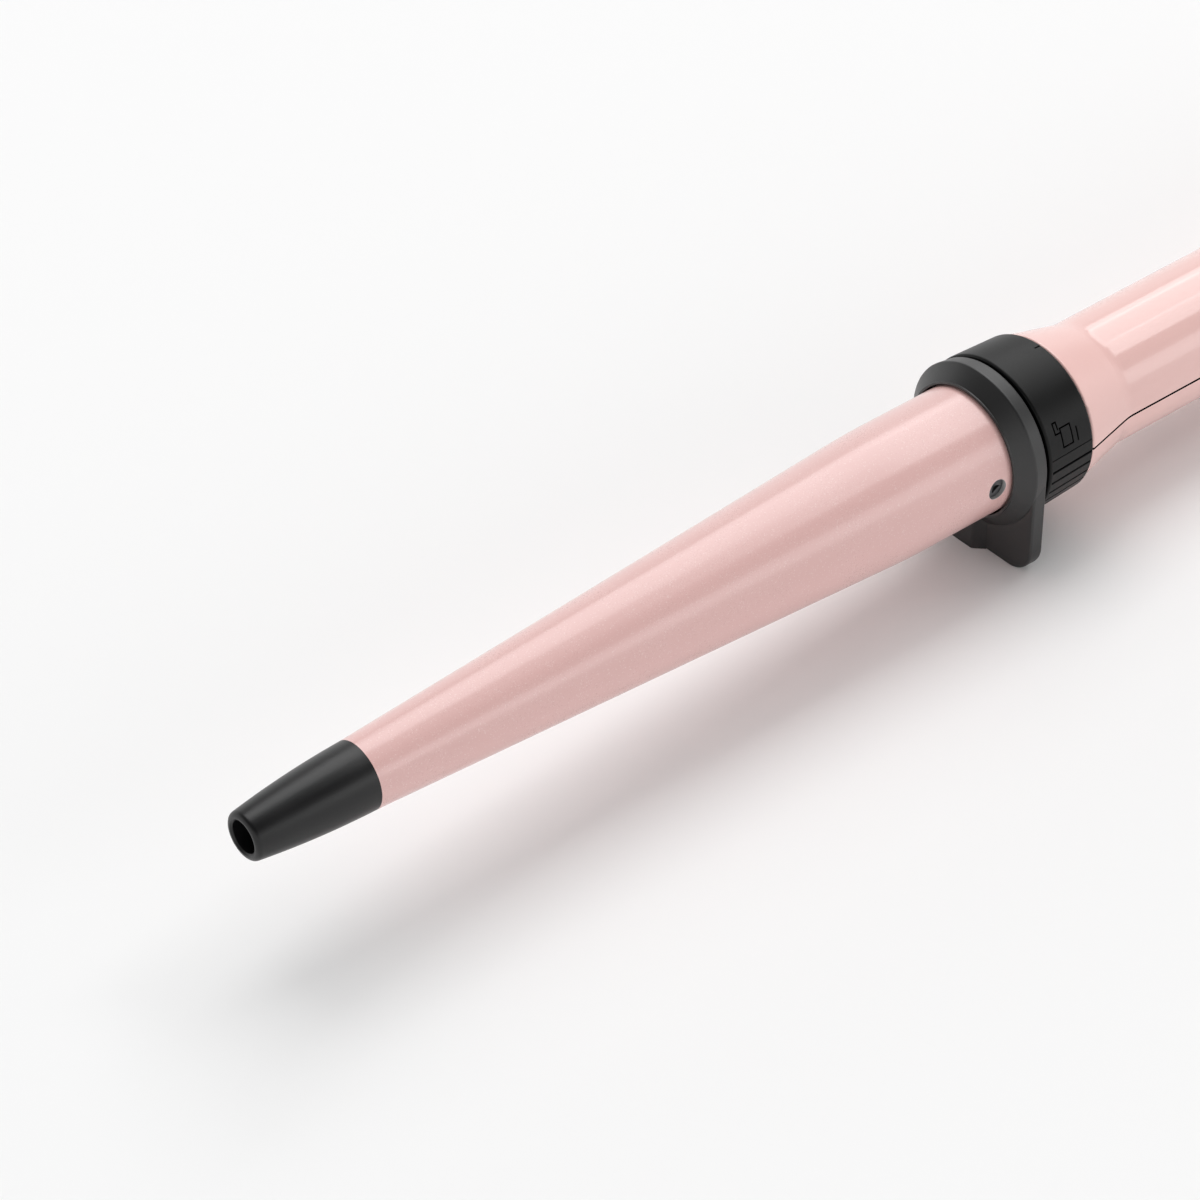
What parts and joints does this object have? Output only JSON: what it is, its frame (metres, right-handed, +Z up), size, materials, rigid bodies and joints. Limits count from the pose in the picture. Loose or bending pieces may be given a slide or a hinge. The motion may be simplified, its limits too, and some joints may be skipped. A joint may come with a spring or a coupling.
{
  "type": "curling wand",
  "caption": "Conical curling wand with a cool tip, a stand collar with foot, a ridged twist-lock ring, a pull-off heated head and a two-shell handle with slide switch and cord swivel.",
  "frame": {"origin": "on the table, under the middle of the stand foot's flat face", "axes": "+Z up, +X from the cool tip towards the handle's cord end, +Y to the wand's left seen from the handle"},
  "size_m": [0.354, 0.0324, 0.0377],
  "materials": {
    "pearl_barrel": "satin pearl pink coating",
    "black_plastic": "fine satin black moulding",
    "pink_shell": "glossy pink moulding",
    "dark_screw": "dark oxide",
    "steel": "zinc plated",
    "aluminium": "extruded",
    "ceramic": "sintered",
    "brass": "bright",
    "amber_film": "clear film",
    "wire_sleeve": "glass fibre sleeve",
    "sensor_glass": "glass bead",
    "grey_insulator": "heat-proof moulding",
    "green_board": "solder mask",
    "board_part": "moulded",
    "lamp": "clear red",
    "lens": "clear red"
  },
  "bodies": {
    "handle": {"upper_shell": "pink_shell", "lower_shell": "pink_shell", "shell_screws": "steel", "socket_sleeve": "grey_insulator", "socket_block": "grey_insulator", "contact_sleeves": "brass", "socket_wires": "wire_sleeve", "circuit_board": "green_board", "board_screws": "steel", "board_components": "board_part", "power_switch": "grey_insulator", "switch_bezel": "black_plastic", "indicator_lamp": "lamp", "indicator_lens": "lens", "slip_brushes": "brass", "end_collar": "black_plastic"},
    "head": {"barrel": "pearl_barrel", "cool_tip": "black_plastic", "tip_screw": "steel", "tip_anchor": "aluminium", "heat_spreader_upper": "aluminium", "heat_spreader_lower": "aluminium", "ptc_stones": "ceramic", "electrode_strips": "brass", "insulating_film": "amber_film", "heater_lead": "wire_sleeve", "thermal_fuse": "sensor_glass", "temperature_sensor": "sensor_glass", "stand_collar": "black_plastic", "barrel_screws": "dark_screw", "head_plug": "grey_insulator", "plug_screws": "steel", "contact_pins": "brass"},
    "lock_ring": {"lock_ring": "black_plastic"},
    "switch_slide": {"switch_slider": "black_plastic", "switch_nib": "grey_insulator"},
    "cord_swivel": {"swivel_gland": "black_plastic", "slip_rings": "brass"}
  },
  "joints": [
    {"name": "lock_ring_turn", "type": "hinge", "parent": "handle", "child": "lock_ring", "pos_m": [0.0087, 0, 0.02111], "axis": [0.9989, 0, -0.0471], "range_deg": [0, 40]},
    {"name": "head_pull", "type": "slide", "parent": "handle", "child": "head", "axis": [-0.9989, 0, 0.0471], "range_m": [0, 0.045]},
    {"name": "switch_travel", "type": "slide", "parent": "handle", "child": "switch_slide", "axis": [-0.9989, 0, 0.0471], "range_m": [0, 0.008]},
    {"name": "cord_turn", "type": "hinge", "parent": "handle", "child": "cord_swivel", "pos_m": [0.17032, 0, 0.0135], "axis": [0.9989, 0, -0.0471], "continuous": true}
  ]
}
